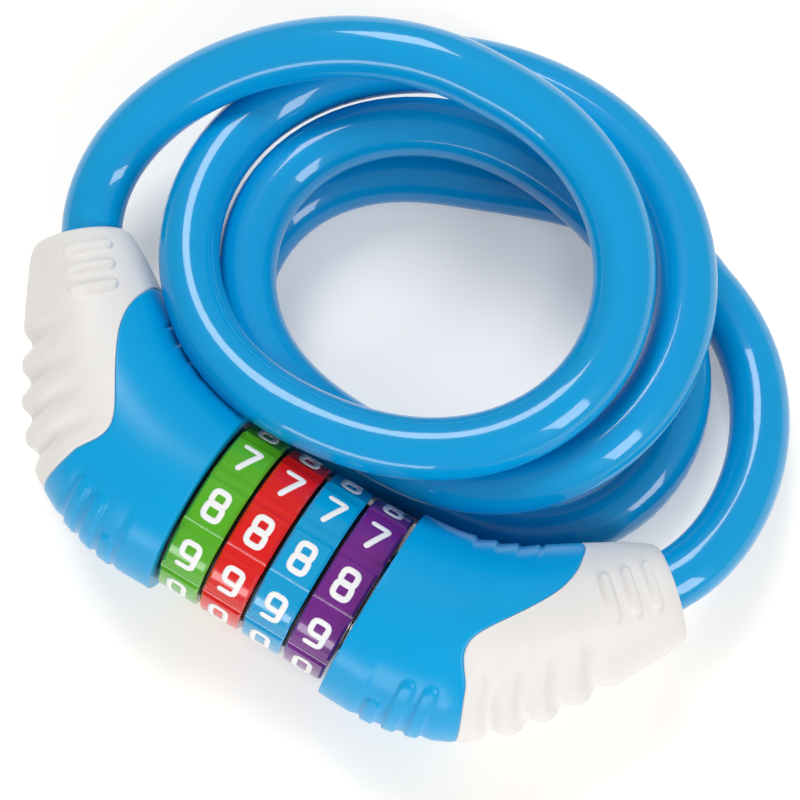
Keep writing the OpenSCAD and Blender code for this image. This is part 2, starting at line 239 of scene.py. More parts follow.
def moulded_plastic(name, colour, gloss=None, **skin):
    """A plastic with the moulded skin. gloss is for the shader, skin for the group."""
    colour = screen_colour(*colour)
    material = bpy.data.materials.new(name)
    material.use_nodes = True
    tree = material.node_tree
    shader = tree.nodes["Principled BSDF"]
    group = tree.nodes.new("ShaderNodeGroup")
    group.node_tree = moulded_skin
    group.inputs["Colour"].default_value = colour
    for key, value in skin.items():
        group.inputs[key.replace("_", " ")].default_value = value
    tree.links.new(group.outputs["Colour"], shader.inputs["Base Color"])
    tree.links.new(group.outputs["Roughness"], shader.inputs["Roughness"])
    tree.links.new(group.outputs["Normal"], shader.inputs["Normal"])
    for key, value in (gloss or {}).items():
        shader.inputs[key].default_value = value
    material.diffuse_color = colour
    return material


# %% [markdown]
# The housings are a hard plastic with a satin skin, the boots a soft rubber that looks a little
# dusty, and the rings a glossier plastic under a clear coat. Only the values differ from one to
# the next. Colours are given as they look on a screen.

# %% Plastics of the lock
blue_plastic = moulded_plastic(
    "blue_plastic",
    (0, 166, 227),
    {"Specular IOR Level": 0.3},
    Roughness=0.3,
    Unevenness=0.08,
    Grain_depth=0.15,
)
white_rubber = moulded_plastic(
    "white_rubber",
    (240, 237, 234),
    {"Sheen Weight": 0.1},
    Roughness=0.5,
    Unevenness=0.05,
    Grain_per_metre=1800.0,
    Grain_depth=0.25,
)
number_paint = moulded_plastic("number_paint", (250, 250, 250), Roughness=0.4, Unevenness=0.04)
# The spacers between the number rings are near black, which keeps the gaps between the rings dark.
dark_plastic = moulded_plastic("dark_plastic", (22, 22, 26), Roughness=0.5)
ring_colours = {
    "green": (88, 180, 30),
    "red": (228, 22, 18),
    "blue": (0, 162, 218),
    "purple": (116, 34, 136),
}
ring_gloss = {"Specular IOR Level": 0.25, "Coat Weight": 0.7, "Coat Roughness": 0.06}
ring_plastics = {
    name: moulded_plastic(
        f"{name}_ring_plastic", colour, ring_gloss, Roughness=0.22, Unevenness=0.12
    )
    for name, colour in ring_colours.items()
}
print("plastics:", [m.name for m in bpy.data.materials if m.name.endswith("plastic")])

# %% [markdown]
# The cable's jacket is clear-skinned PVC. Light sinks in a little and a hard gloss lies on
# top, so it gets a coat over a softer base. Drawing it through the die leaves faint streaks
# along its length, which follow the `along` and `around` values kept on its mesh.

# %% Cable jacket
cable_jacket = moulded_plastic(
    "cable_jacket",
    (0, 160, 222),
    {"Specular IOR Level": 0.1, "Coat Weight": 0.7, "Coat Roughness": 0.05},
    Roughness=0.24,
    Rubbing=0.1,
    Grain_depth=0.05,
)
# The mesh value along runs from 0 to 1, so the noise is stretched along the whole cable
along_stretch, streak_scale, streak_roughness = 25.0, 9.0, 0.12


def kept_value(tree, name):
    """What the mesh keeps under that name."""
    value = add_node(tree, "ShaderNodeAttribute")
    value.attribute_name = name
    return value.outputs["Fac"]


def draw_streaks(material):
    """Adds faint streaks along the cable to the roughness that the skin gives."""
    tree = material.node_tree
    shader = tree.nodes["Principled BSDF"]
    skin_roughness = shader.inputs["Roughness"].links[0].from_socket
    stretched = maths(tree, "MULTIPLY", kept_value(tree, "along"), along_stretch)
    turned = maths(tree, "MULTIPLY", kept_value(tree, "around"), 2 * math.pi)
    place = add_node(tree, "ShaderNodeCombineXYZ", X=stretched, Y=maths(tree, "SINE", turned))
    streaks = add_node(
        tree, "ShaderNodeTexNoise", Vector=place.outputs[0], Scale=streak_scale, Detail=4.0
    )
    rough = maths(
        tree, "MULTIPLY_ADD", streaks.outputs["Fac"], streak_roughness, skin_roughness
    )
    tree.links.new(rough, shader.inputs["Roughness"])


draw_streaks(cable_jacket)
print("cable jacket streaks change its roughness by up to", streak_roughness)

# %% [markdown]
# Steel parts are turned, ground or plated. Turning leaves fine rings round the axis of the
# part, so the grain is noise that changes quickly along X, the axis of the rings and the bolt,
# and slowly the other ways.

# %% Metals
mark_roughness, mark_height = 0.2, 0.02 * MM
# How quickly the marks change across X, and the tarnish in any direction
marks_per_metre, tarnish_per_metre = 60.0, 150.0
# How light the tarnished spots are, next to the bare metal
tarnished = 0.8


def turned_steel(name, colour, roughness, rings_per_metre=3000.0):
    material = bpy.data.materials.new(name)
    material.use_nodes = True
    tree = material.node_tree
    shader = tree.nodes["Principled BSDF"]
    place = tree.nodes.new("ShaderNodeTexCoord").outputs["Object"]
    squeezed = add_node(tree, "ShaderNodeMapping", Vector=place)
    squeezed.inputs["Scale"].default_value = (rings_per_metre, marks_per_metre, marks_per_metre)
    marks = add_node(
        tree, "ShaderNodeTexNoise", Vector=squeezed.outputs[0], Scale=1.0, Detail=3.0
    )
    tarnish = add_node(
        tree, "ShaderNodeTexNoise", Vector=place, Scale=tarnish_per_metre, Detail=4.0
    )
    # Sockets 6 and 7 of a mix node are its two colours, and output 2 is the mixed colour
    shades = add_node(tree, "ShaderNodeMix")
    shades.data_type = "RGBA"
    put(tree, shades.inputs["Factor"], tarnish.outputs["Fac"])
    put(tree, shades.inputs[6], tuple(tarnished * v for v in colour[:3]) + (1,))
    put(tree, shades.inputs[7], colour)
    tree.links.new(shades.outputs[2], shader.inputs["Base Color"])
    lowest = roughness - mark_roughness / 2
    rough = maths(tree, "MULTIPLY_ADD", marks.outputs["Fac"], mark_roughness, lowest)
    tree.links.new(rough, shader.inputs["Roughness"])
    bump = add_node(
        tree, "ShaderNodeBump", Strength=0.15, Distance=mark_height, Height=marks.outputs["Fac"]
    )
    tree.links.new(bump.outputs[0], shader.inputs["Normal"])
    shader.inputs["Metallic"].default_value = 1.0
    material.diffuse_color = colour
    return material


plated_steel = turned_steel("plated_steel", (0.62, 0.63, 0.64, 1), 0.28)
bolt_steel = turned_steel("bolt_steel", (0.66, 0.66, 0.65, 1), 0.22)
pin_steel = turned_steel("pin_steel", (0.5, 0.5, 0.5, 1), 0.35)
spring_steel = turned_steel("spring_steel", (0.3, 0.32, 0.36, 1), 0.3, 400.0)
rope_steel = turned_steel("rope_steel", (0.42, 0.42, 0.43, 1), 0.4, 900.0)
cast_zinc = turned_steel("cast_zinc", (0.52, 0.52, 0.54, 1), 0.45, 300.0)
print("metals:", [m.name for m in bpy.data.materials if m.name.endswith(("steel", "zinc"))])

# %% [markdown]
# The parts that this script doesn't replace keep their CAD shape and only get a finish: steel
# for what carries load, cast zinc for the clutch hubs, plastic for the number rings.

# %% Finish for each working part that stays
part_finishes = {
    plated_steel: ["left_ferrule", "right_ferrule", "barrel", "barrel_collar", "bolt_socket"],
    bolt_steel: ["bolt"],
    pin_steel: ["left_ferrule_pin", "right_ferrule_pin", "barrel_pin", "bolt_pin"],
    spring_steel: ["click_spring"],
    rope_steel: ["left_cable_rope", "right_cable_rope"],
    cast_zinc: [f"{name}_clutch_hub" for name in ring_names],
    # Near-black spacers keep the gaps between the number rings dark
    dark_plastic: ["ring_spacers"],
}
for name in ring_names:
    part_finishes[ring_plastics[name]] = [f"{name}_number_ring"]


def finish_part(node, material):
    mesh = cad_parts[node].data
    mesh.materials.clear()
    mesh.materials.append(material)


for material, nodes in part_finishes.items():
    for node in nodes:
        finish_part(node, material)
print("finished parts:", sum(len(nodes) for nodes in part_finishes.values()))

# %% [markdown]
# ## The two curved halves
#
# Each half is a bent, tapering shell. Its shape is easiest to say with two outlines seen from
# above, one on the coil side and one in front, and a half height at the same stations. Between
# the two outlines each section is an ellipse. The left half is the mirror image of the right.
# All the lists are in millimetres, as distances from the axis of the number rings.

# %% Outlines of a half
face_x = 19.2
back_edge = np.array(
    [[0, 20], [9.8, 21.4], [19.8, 25.2], [28.8, 30.9], [36.3, 35.6], [41.6, 38.2]]
)
front_edge = np.array(
    [[0, -20], [12.8, -19.6], [25.8, -15.4], [36.8, -7], [46.8, 8], [56, 24.8]]
)
half_height = np.array([20, 19.9, 18.9, 17, 14, 9.84])
last_station = 5
# The seam's station every 30 degrees, from the coil side over the top to the front
seam_station = np.array([3, 3.08, 2.85, 1.75, 1.95, 2.1, 2.15])
seam_pitch = 30
# The boot's end is rounded by 1.2 mm over the last 0.35 of a station
end_round = 1.2
round_from = 0.35


def through(values, t):
    """Smooth curve through the values, for an array of positions t."""
    t = np.asarray(t, float)
    last = len(values) - 1
    i = np.clip(np.floor(t).astype(int), 0, last - 1)
    f = t - i
    if values.ndim > 1:
        f = f[..., None]
    a = values[np.clip(i - 1, 0, last)]
    b = values[i]
    c = values[i + 1]
    d = values[np.clip(i + 2, 0, last)]
    bend = 2 * a - 5 * b + 4 * c - d
    twist = 3 * b - a - 3 * c + d
    return 0.5 * (2 * b + (c - a) * f + bend * f**2 + twist * f**3)


def seam_at(angle):
    """Station of the seam between housing and boot, the same above and below."""
    angle = np.degrees(angle) % 360
    return through(seam_station, np.where(angle > 180, 360 - angle, angle) / seam_pitch)


def smooth_step(low, high, value):
    """0 at low, 1 at high and an even change between. low may be the larger one."""
    t = np.clip((value - low) / (high - low), 0, 1)
    return t * t * (3 - 2 * t)


def bare_shell(station, angle):
    """Points of the right half's surface, round its own axis, before any moulded detail."""
    station, angle = np.broadcast_arrays(np.asarray(station, float), np.asarray(angle, float))
    back = through(back_edge, station)
    front = through(front_edge, station)
    middle, across = (back + front) / 2, (back - front) / 2
    near_end = np.clip((station - last_station + round_from) / round_from, 0, 1)
    inset = end_round * (1 - np.sqrt(1 - near_end**2))
    shrink = 1 - inset / np.linalg.norm(across, axis=-1)
    plan = middle + across * (shrink * np.cos(angle))[..., None]
    height = (through(half_height, station) - inset) * np.sin(angle)
    return np.stack([face_x + plan[..., 0], plan[..., 1], height], axis=-1)


# %% [markdown]
# The moulded details are small heights added square to that surface. Measuring them in
# millimetres along the front and back edges keeps them evenly spaced however the edges bend.

# %% Distances along the two edges
def edge_length(edge):
    """Distance along an edge at a fine run of stations."""
    stations = np.linspace(0, last_station, 251)
    steps = np.linalg.norm(np.diff(through(edge, stations), axis=0), axis=1)
    return stations, np.concatenate([[0], np.cumsum(steps)])


front_stations, front_lengths = edge_length(front_edge)
back_stations, back_lengths = edge_length(back_edge)


def along_front(station):
    return np.interp(station, front_stations, front_lengths)


def along_back(station):
    return np.interp(station, back_stations, back_lengths)


for edge_name, lengths in (("front", front_lengths), ("back", back_lengths)):
    print(edge_name, "edge", round(lengths[-1], 1), "mm")

# %% [markdown]
# The boot has four finger notches on its outer side. They stand square to the outer edge, lean
# away from the seam towards the top and fade out there. Near the cable's way out three short
# ribs stand up side by side, parallel to the boot's end.

# %% Moulded details of a boot
# Crests and notches, as parts of the way from the seam to the end
notch_parts = [0, 0.19, 0.37, 0.51, 0.65, 0.79]
notch_depth, notch_lean, notch_narrowing = 1.8, 0.3, 1.5
# Degrees from the outer edge at which a notch has gone, and at which it is whole
notch_fade = (90, 40)
end_middle = np.array([face_x, 0]) + (back_edge[-1] + front_edge[-1]) / 2
to_back = (back_edge[-1] - front_edge[-1]) / np.linalg.norm(back_edge[-1] - front_edge[-1])
end_normal = np.array([to_back[1], -to_back[0]])
rib_depths = (4.7, 9.0, 13.3)
rib_offset, rib_half_length, rib_height = 2.4, 3.6, 0.9
# Half widths of a rib, at its foot and at its top
rib_foot, rib_top = 1.25, 0.55


def boot_relief(station, angle, point):
    """Height of the boot's moulded details, in millimetres."""
    turn = np.abs((np.degrees(angle) % 360) - 180)
    seam = seam_at(angle)
    part = np.clip((station - seam) / (last_station - seam), 0, 1)
    part = part ** (1 / (1 + notch_lean * np.abs(np.sin(angle))))
    phase = np.interp(part, notch_parts, range(len(notch_parts)))
    inside = (phase > 0.5) & (phase < len(notch_parts) - 1.5)
    notch = ((1 + np.cos(2 * np.pi * phase)) / 2) ** notch_narrowing * inside
    relief = -notch_depth * notch * smooth_step(*notch_fade, turn)

    offset = point[..., :2] - end_middle
    depth = -(offset @ end_normal)
    side = np.abs(offset @ to_back - rib_offset)
    for rib_depth in rib_depths:
        gap = np.hypot(depth - rib_depth, np.clip(side - rib_half_length, 0, None))
        relief = relief + rib_height * smooth_step(rib_foot, rib_top, gap)
    return relief


# %% [markdown]
# The housing is plainer: small steps along the coil side, and on the outer side three low
# ridges with round tops, in a shallow hollow.

# %% Moulded details of a housing
# Steps: where the first starts and the last ends along the back edge
step_places, step_pitch, step_depth = (10.8, 23.5), 4.1, 0.75
# How much of the pitch a step's rise takes, and how softly the row starts
step_rise, row_start = 0.18, 0.05
# Degrees from the back edge at which the steps have gone, and at which they are whole
step_fade = (42, 16)
# Ridges: the place of each along the front edge, and how many degrees it runs up and down
ridges = ((10.6, 32), (15.2, 53), (19.8, 53))
ridge_foot, ridge_top, ridge_height = 1.65, 1.1, 0.2
# The hollow sinks in over these places along the front edge, and over these degrees from it
hollow_start, hollow_end, hollow_fade, hollow_depth = (7, 9), (24, 21.5), (70, 50), 0.45
# Millimetres round the housing to a degree
mm_per_degree = 0.33


def housing_relief(station, angle, point):
    """Height of the housing's moulded details, in millimetres."""
    degrees = np.degrees(angle) % 360
    from_back = np.minimum(degrees, 360 - degrees)
    place = (along_back(station) - step_places[0]) / step_pitch
    saw = 1 - place % 1
    steps = saw * smooth_step(0, step_rise, place % 1)
    started = smooth_step(-row_start, row_start, place)
    ended = smooth_step(step_places[1] + 1, step_places[1], along_back(station))
    relief = -step_depth * steps * started * ended * smooth_step(*step_fade, from_back)

    from_front = np.abs(degrees - 180)
    q = along_front(station)
    hollow = smooth_step(*hollow_start, q) * smooth_step(*hollow_end, q)
    hollow = hollow * smooth_step(*hollow_fade, from_front)
    relief = relief - hollow_depth * hollow
    for place, top in ridges:
        gap = np.hypot(q - place, np.clip(from_front - top, 0, None) * mm_per_degree)
        raised = hollow_depth * hollow + ridge_height
        relief = relief + raised * smooth_step(ridge_foot, ridge_top, gap)
    return relief


# %% [markdown]
# A skin is a stack of rings, all with the same number of points, so that each ring joins the
# next with plain four-sided faces. The last rings turn in at the seam and at the faces, and a
# fan closes each end, which leaves one closed solid. Rounding the edge of each skin makes the
# fine line that is seen where two mouldings meet.

# %% Rings of a skin
around = 216
angles = np.linspace(0, 2 * math.pi, around, endpoint=False)
edge_r, edge_rings = 0.45, 6
mm_per_station = 10
# How far the skins turn in where they meet at the seam
seam_wall = 3.0


def detailed_ring(station, relief, sunk=0.0):
    """One ring of the right half with its details, sunk as a whole where an edge is rounded."""
    point = bare_shell(station, angles)
    step = 1e-3
    along = bare_shell(np.clip(station + step, 0, last_station), angles) - bare_shell(
        np.clip(station - step, 0, last_station), angles
    )
    turn = bare_shell(station, angles + step) - bare_shell(station, angles - step)
    normal = np.cross(turn, along)
    normal /= np.linalg.norm(normal, axis=-1, keepdims=True)
    height = relief(station, angles, point) - sunk
    return point + normal * height[..., None]


def circle_ring(x, radius):
    """A ring round the axis of the number rings."""
    return np.stack(
        [np.full(around, float(x)), radius * np.cos(angles), radius * np.sin(angles)], axis=-1
    )


def edge_steps():
    """Stations from an edge, and how far the surface is sunk there, for a rounded edge."""
    turn = np.linspace(0, math.pi / 2, edge_rings)
    return edge_r * (1 - np.sin(turn)) / mm_per_station, edge_r * (1 - np.cos(turn))


# %% [markdown]
# The rings are worked out for the right half, round its own axis and in millimetres. They are
# then mirrored for the left half, moved to the lock's axis and pressed flat where they would go
# below the floor, which gives each half the narrow flat that it rests on.

# %% From rings to a skin
def settle(rings, side):
    """Puts the rings in place for one half: mirrored on the left, flat underneath."""
    placed = []
    for ring in rings:
        ring = ring.copy()
        ring[:, 0] *= side
        ring *= MM
        ring[:, 1] += axis_y
        ring[:, 2] = np.maximum(ring[:, 2] + axis_z, 0)
        placed.append(ring)
    return placed


def skin_object(name, rings, material, body):
    """A closed object from a stack of rings, which rides on a body."""
    points = np.concatenate(rings + [rings[0].mean(0)[None], rings[-1].mean(0)[None]])
    faces = []
    for i in range(len(rings) - 1):
        for k in range(around):
            n = (k + 1) % around
            faces.append(
                (i * around + k, i * around + n, (i + 1) * around + n, (i + 1) * around + k)
            )
    last = (len(rings) - 1) * around
    first_tip, last_tip = len(points) - 2, len(points) - 1
    for k in range(around):
        n = (k + 1) % around
        faces.append((first_tip, n, k))
        faces.append((last_tip, last + k, last + n))
    mesh = bpy.data.meshes.new(name)
    mesh.from_pydata([tuple(p) for p in points], [], faces)
    form = bmesh.new()
    form.from_mesh(mesh)
    bmesh.ops.recalc_face_normals(form, faces=form.faces)
    form.to_mesh(mesh)
    form.free()
    mesh.polygons.foreach_set("use_smooth", [True] * len(mesh.polygons))
    mesh.materials.append(material)
    skin = new_object(name, mesh)
    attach(skin, body)
    return skin


# %% [markdown]
# The housing starts at its bore, comes out to the face that meets the number rings, and runs
# to the seam. On the right the bore first takes the steel socket and then the bolt.

# %% Housings
housing_stack = 90


def housing_rings(bore):
    away, sunk = edge_steps()
    rings = [circle_ring(x, radius) for x, radius in bore]
    for a, s in list(zip(away, sunk))[::-1]:
        rings.append(detailed_ring(np.full(around, a), housing_relief, s))
    start, seam = away[0], seam_at(angles)
    for t in np.linspace(0, 1, housing_stack)[1:]:
        rings.append(detailed_ring(start + (seam - away[0] - start) * t, housing_relief))
    for a, s in list(zip(away, sunk))[1:]:
        rings.append(detailed_ring(seam - a, housing_relief, s))
    rings.append(detailed_ring(seam, housing_relief, seam_wall))
    return rings


socket_low, socket_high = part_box("bolt_socket")
barrel_low, barrel_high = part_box("barrel")
bolt_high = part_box("bolt")[1]
bolt_r, fit_gap = 3.5, 0.06
bolt_bore = bolt_r + fit_gap
socket_bore = (socket_high[2] - socket_low[2]) / 2 / MM + fit_gap
barrel_bore = (barrel_high[2] - barrel_low[2]) / 2 / MM + fit_gap
housing_bores = {
    1: [
        (bolt_high[0] / MM + fit_gap, bolt_bore),
        (socket_high[0] / MM + fit_gap, bolt_bore),
        (socket_high[0] / MM + fit_gap, socket_bore),
        (face_x, socket_bore),
    ],
    -1: [(-barrel_low[0] / MM + fit_gap, barrel_bore), (face_x, barrel_bore)],
}
halves = {1: ("right", "bolt_half"), -1: ("left", "lock_body")}
for side, (half, body) in halves.items():
    rings = settle(housing_rings(housing_bores[side]), side)
    skin = skin_object(f"{half}_housing_skin", rings, blue_plastic, body)
    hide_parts(f"{half}_housing")
    print(skin.name, len(skin.data.polygons), "faces")

# %% [markdown]
# The cable leaves a boot through a round hole that leans a little towards the coil, as the cable
# does. The first ring of the hole lies in the plane of the boot's end, and the others go some
# way in beside the cable.

# %% The cable's way out of a boot
cable_r, hole_room = 6, 0.25
hole_r = cable_r + hole_room
cable_lean = 14
# The least wall between the hole and the boot's inner side, with some room round the cable
boot_wall, wall_room = 1.4, 0.2
out_angle = math.atan2(end_normal[1], end_normal[0]) + math.radians(cable_lean)
out_dir = np.array([math.cos(out_angle), math.sin(out_angle)])
end_half_width = np.linalg.norm(back_edge[-1] - front_edge[-1]) / 2
exit_plan = end_middle + to_back * (end_half_width - cable_r - wall_room - boot_wall)
# The hole's rings: how much wider than the hole, and how deep. The first two round its rim.
hole_rings = ((0.5, 0), (0.12, 0.12), (0, 0.5), (0, 7.5))


def hole_ring(radius, depth):
    """A ring of the cable's hole, in the plane of the boot's end at depth 0."""
    across = np.array([-out_dir[1], out_dir[0]])
    plan = exit_plan + across * (radius * np.cos(angles))[:, None]
    to_plane = -((plan - end_middle) @ end_normal) / (out_dir @ end_normal)
    plan = plan + out_dir * (to_plane - depth)[:, None]
    return np.column_stack([plan, radius * np.sin(angles)])


print("cable leaves at", exit_plan.round(1), "mm,", round(math.degrees(out_angle), 1), "degrees")

# %% [markdown]
# The boot runs from the seam to its rounded end, where its rings close on the hole. It has more
# rings than the housing, because its notches and ribs are narrow.

# %% Boots
boot_stack, end_stack = 150, 12


def boot_rings():
    away, sunk = edge_steps()
    seam = seam_at(angles)
    rings = [detailed_ring(seam, boot_relief, seam_wall)]
    for a, s in list(zip(away, sunk))[::-1]:
        rings.append(detailed_ring(seam + a, boot_relief, s))
    start = seam + away[0]
    stop = last_station - round_from
    for t in np.linspace(0, 1, boot_stack)[1:]:
        rings.append(detailed_ring(start + (stop - start) * t, boot_relief))
    for turn in np.linspace(0, math.pi / 2, end_stack)[1:]:
        station = last_station - round_from * (1 - math.sin(turn))
        rings.append(detailed_ring(np.full(around, station), boot_relief))
    return rings + [hole_ring(hole_r + wider, depth) for wider, depth in hole_rings]


for side, (half, body) in halves.items():
    rings = settle(boot_rings(), side)
    skin = skin_object(f"{half}_boot_skin", rings, white_rubber, body)
    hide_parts(f"{half}_end_boot")
    print(skin.name, len(skin.data.polygons), "faces")

# %% [markdown]
# ## The cable
#
# The cable is one length of steel rope in a plastic jacket, about a metre from ferrule to
# ferrule. It comes straight out of the left boot, climbs over its own coil, turns down through
# it more than three times and comes back into the right boot. Its reach from the middle of the
# coil is given every eighth of a turn and its height every quarter, and even curves between
# them give the route, so the passes lie on and beside each other as the real ones do.

# %% Route of the cable
coil_middle = np.array([-14.5, 61])
coil_drift = 8.5
# One row is a turn, clockwise from the left
reach = np.array(
    [80.5, 52.5, 36, 32, 40.5, 45.5, 39.5, 36]
    + [44.5, 47.5, 43.5, 43.5, 49.5, 47.5, 42, 31.5]
    + [40.5, 45, 35.5, 29.5, 33, 49.5, 47, 30.5]
    + [52.5, 52.5, 29.5, 31.5, 42.5, 54, 59, 53.5, 36.5]
)
height = np.array(
    [26, 38.5, 42, 35, 36, 19, 21, 31, 18.5, 18, 22.5, 9, 5.5, 6, 6, 6.5, 8.5, 11, 13.5]
)
coil_from, coil_to = 0.25, 3.375
cad_rings_a_turn = 24
# How deep in the boot the ferrule ends, and how far the cable runs straight from there
cable_seat, cable_straight, straight_points = 6, 7.65, 6
# How far a run keeps its direction out of the boot and into the coil, and its points
left_lead, left_points = (29, 36), 40
right_lead, right_points = (19, 28), 32
axis_height = axis_z / MM


def near(values, t):
    """Even curve that stays near the values, for an array of positions t from 1 on."""
    t = np.asarray(t, float)
    i = np.minimum(np.floor(t).astype(int), len(values) - 3)
    f = t - i
    return (
        (1 - f) ** 3 * values[i - 1]
        + (3 * f**3 - 6 * f**2 + 4) * values[i]
        + (3 * f + 3 * f**2 - 3 * f**3 + 1) * values[i + 1]
        + f**3 * values[i + 2]
    ) / 6


def coil_points(turns):
    """Points of the coil after that many turns."""
    turns = np.asarray(turns, float)
    angle = math.pi - 2 * math.pi * turns
    out = near(reach, 8 * turns + 1)
    x = coil_middle[0] + coil_drift * turns + out * np.cos(angle)
    y = coil_middle[1] + out * np.sin(angle)
    z = np.maximum(near(height, 4 * turns + 1), cable_r)
    return np.stack([x, y, z], axis=-1)


def bezier(a, b, c, d, t):
    t = np.asarray(t, float)[:, None]
    return (1 - t) ** 3 * a + 3 * t * (1 - t) ** 2 * b + 3 * t**2 * (1 - t) * c + t**3 * d


def unit(vector):
    return vector / np.linalg.norm(vector)


def run_points(side, coil_end, coil_dir, lead, count):
    """From the ferrule straight until it is out of the boot, then bent into the coil."""
    out = np.array([side * out_dir[0], out_dir[1], 0])
    seat = np.array([side * exit_plan[0], exit_plan[1], axis_height]) - out * cable_seat
    bend = seat + out * cable_straight
    straight = seat + (bend - seat) * np.linspace(0, 1, straight_points + 1)[:-1, None]
    leave, arrive = bend + out * lead[0], coil_end - coil_dir * lead[1]
    bent = bezier(bend, leave, arrive, coil_end, np.linspace(0, 1, count))
    return np.concatenate([straight, bent])


# Four times as many rings as the CAD model's cable has, on the same curve
rings_a_turn = 4 * cad_rings_a_turn
turns = np.linspace(coil_from, coil_to, round((coil_to - coil_from) * rings_a_turn) + 1)
coil = coil_points(turns)
coarse_step = 1 / cad_rings_a_turn
first, second = coil_points([coil_from, coil_from + coarse_step])
before, last = coil_points([coil_to - coarse_step, coil_to])
left_run = run_points(-1, first, unit(second - first), left_lead, left_points)
right_run = run_points(1, last, -unit(last - before), right_lead, right_points)
route = np.concatenate([left_run[:-1], coil, right_run[-2::-1]])
route = route * MM + [0, axis_y, 0]
cable_length = np.linalg.norm(np.diff(route, axis=0), axis=1).sum()
print("cable", round(cable_length, 4), "m along", len(route), "points")

# %% [markdown]
# A round section swept along a curve is what Geometry Nodes does best: Curve to Mesh. The tree
# also keeps two values on the mesh, how far along the cable and how far round it each point
# lies, for the jacket's streaks. The result is then taken out as a plain mesh.

# %% Swept tube
def painted_result(tree, geometry, material, result):
    """Ends a geometry tree: gives the geometry its material and puts it out."""
    painted = add_node(tree, "GeometryNodeSetMaterial", Geometry=geometry, Material=material)
    put(tree, result["Geometry"], painted.outputs[0])


def sweep_tree():
    tree, given, result, sockets = new_group(
        "round_sweep",
        "GeometryNodeTree",
        {"Geometry": "Geometry", "Radius": "Float", "Sides": "Int", "Material": "Material"},
        {"Geometry": "Geometry"},
    )

    def kept(geometry, name):
        """Stores how far along its own spline each point lies."""
        length = add_node(tree, "GeometryNodeSplineParameter")
        store = add_node(tree, "GeometryNodeStoreNamedAttribute", Geometry=geometry, Name=name)
        store.data_type = "FLOAT"
        store.domain = "POINT"
        put(tree, store.inputs["Value"], length.outputs["Factor"])
        return store.outputs["Geometry"]

    section = add_node(
        tree,
        "GeometryNodeCurvePrimitiveCircle",
        Resolution=given["Sides"],
        Radius=given["Radius"],
    )
    swept = add_node(
        tree,
        "GeometryNodeCurveToMesh",
        Curve=kept(given["Geometry"], "along"),
        Profile_Curve=kept(section.outputs["Curve"], "around"),
        Fill_Caps=True,
    )
    smooth = add_node(tree, "GeometryNodeSetShadeSmooth", Geometry=swept.outputs["Mesh"])
    real = add_node(tree, "GeometryNodeRealizeInstances", Geometry=smooth.outputs[0])
    painted_result(tree, real.outputs[0], given["Material"], result)
    return tree, sockets


def baked(source, tree, values):
    """Runs a geometry tree on an object and returns the result as a plain mesh."""
    modifier = source.modifiers.new("make", "NODES")
    modifier.node_group = tree
    for socket, value in values.items():
        modifier[socket.identifier] = value
    bpy.context.view_layer.update()
    evaluated = source.evaluated_get(bpy.context.evaluated_depsgraph_get())
    mesh = bpy.data.meshes.new_from_object(evaluated)
    data = source.data
    bpy.data.objects.remove(source)
    if isinstance(data, bpy.types.Curve):
        bpy.data.curves.remove(data)
    else:
        bpy.data.meshes.remove(data)
    return mesh


def route_curve(name, points):
    curve = bpy.data.curves.new(name, "CURVE")
    curve.dimensions = "3D"
    curve.twist_mode = "Z_UP"
    spline = curve.splines.new("POLY")
    spline.points.add(len(points) - 1)
    spline.points.foreach_set("co", np.column_stack([points, np.ones(len(points))]).ravel())
    return new_object(name, curve)


cable_sides = 36
sweep, sockets = sweep_tree()
cable_mesh = baked(
    route_curve("cable_route", route),
    sweep,
    {
        sockets["Radius"]: cable_r * MM,
        sockets["Sides"]: cable_sides,
        sockets["Material"]: cable_jacket,
    },
)
cable = new_object("cable", cable_mesh)
print("cable mesh", len(cable_mesh.vertices), "points", [a.name for a in cable_mesh.attributes])

# %% [markdown]
# When the bolt half is pulled out, the cable goes with it. The blend turns a piece smoothly
# from one body to the other along a line, but this cable winds back on itself, so its share is
# worked out again along its own length: none in the coil, all of it at the right boot. Only the
# last stretch moves, because a longer one would press on the pass that lies below it.

# %% The cable follows both halves
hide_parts("cable_left_run", "cable_coil", "cable_right_run")
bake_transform(cable, "lock_body", "bolt_half", start=tuple(route[-60]), end=tuple(route[-1]))
along = np.empty(len(cable_mesh.vertices))
cable_mesh.attributes["along"].data.foreach_get("value", along)
# Metres before the cable's end at which it starts to move, and moves in full
give_start, give_whole = 0.13, 0.02
share = smooth_step(1 - give_start / cable_length, 1 - give_whole / cable_length, along)
cable_mesh.attributes["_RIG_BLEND"].data.foreach_set("value", share.astype(np.float32))
print("points that move:", int((share > 0).sum()), "of", len(share))

# %% [markdown]
# ## Numbers
#
# Ten white numbers stand round each ring. A number is drawn as one or two strokes with rounded
# corners. Where two strokes meet, one is a hair aside, because two faces in the same place make
# dark spots. Straight stretches get points every half millimetre, or they would cut through the
# round ring. The ten numbers lie on one flat strip.

# %% Strokes of the numbers
# The width of a stroke
pen = 1.2
numbers_a_ring = 10
number_pitch = 2 * math.pi / numbers_a_ring
